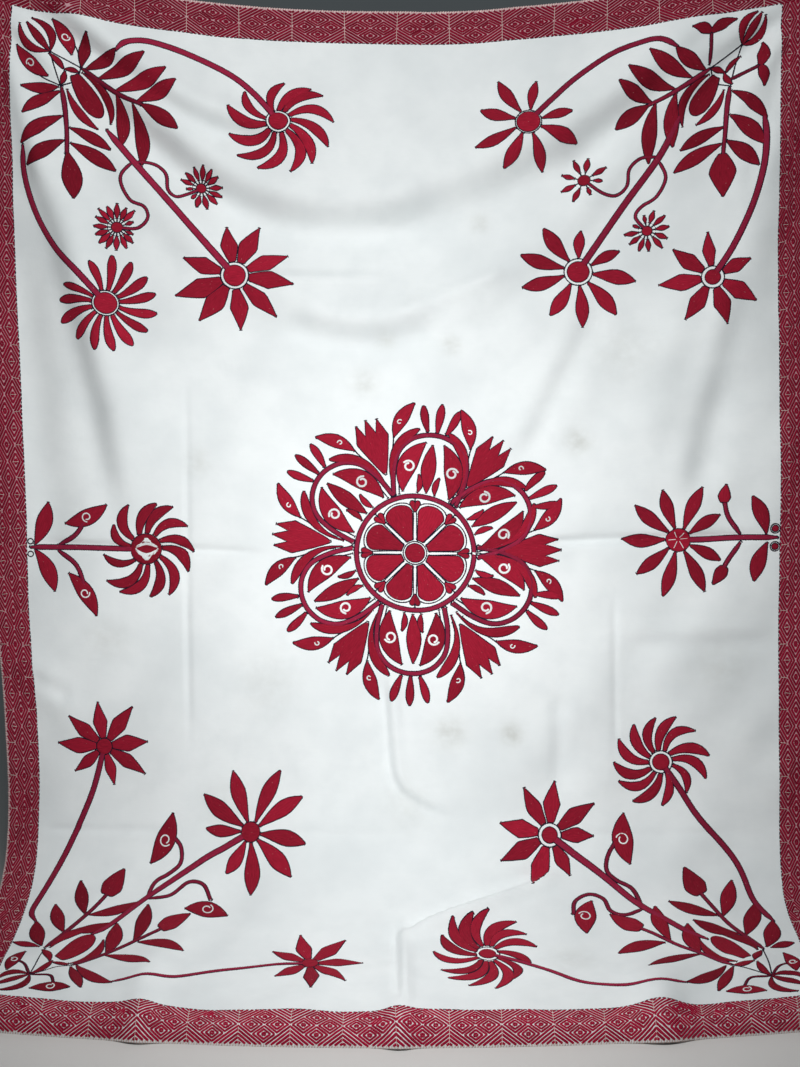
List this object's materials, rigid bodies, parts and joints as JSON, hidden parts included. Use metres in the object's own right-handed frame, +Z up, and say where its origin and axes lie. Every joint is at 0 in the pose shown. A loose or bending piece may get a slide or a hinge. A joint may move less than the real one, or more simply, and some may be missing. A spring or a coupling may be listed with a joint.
{
  "type": "hanging kantha quilt",
  "caption": "Cotton quilt hung by its top corners, sagging in swags and sweeping forward to its hem, with a stitched red border and embroidered flowers and a medallion.",
  "frame": {"origin": "middle of the quilt's top edge, in the thickness of the cloth", "axes": "+Z up, the embroidered face looks along -Y, +X to the right as seen from the front"},
  "size_m": [1.5636, 0.6029, 1.7925],
  "materials": {
    "white_cotton": "matte plain weave cotton, softly creased, with faint grey storage stains",
    "red_thread": "dark red cotton embroidery thread in close parallel stitches",
    "outline_thread": "dark plum back-stitched outline thread",
    "edge_thread": "cream overcast thread along the hem"
  },
  "bodies": {
    "root": {"quilt_cloth": "white_cotton"}
  },
  "joints": []
}
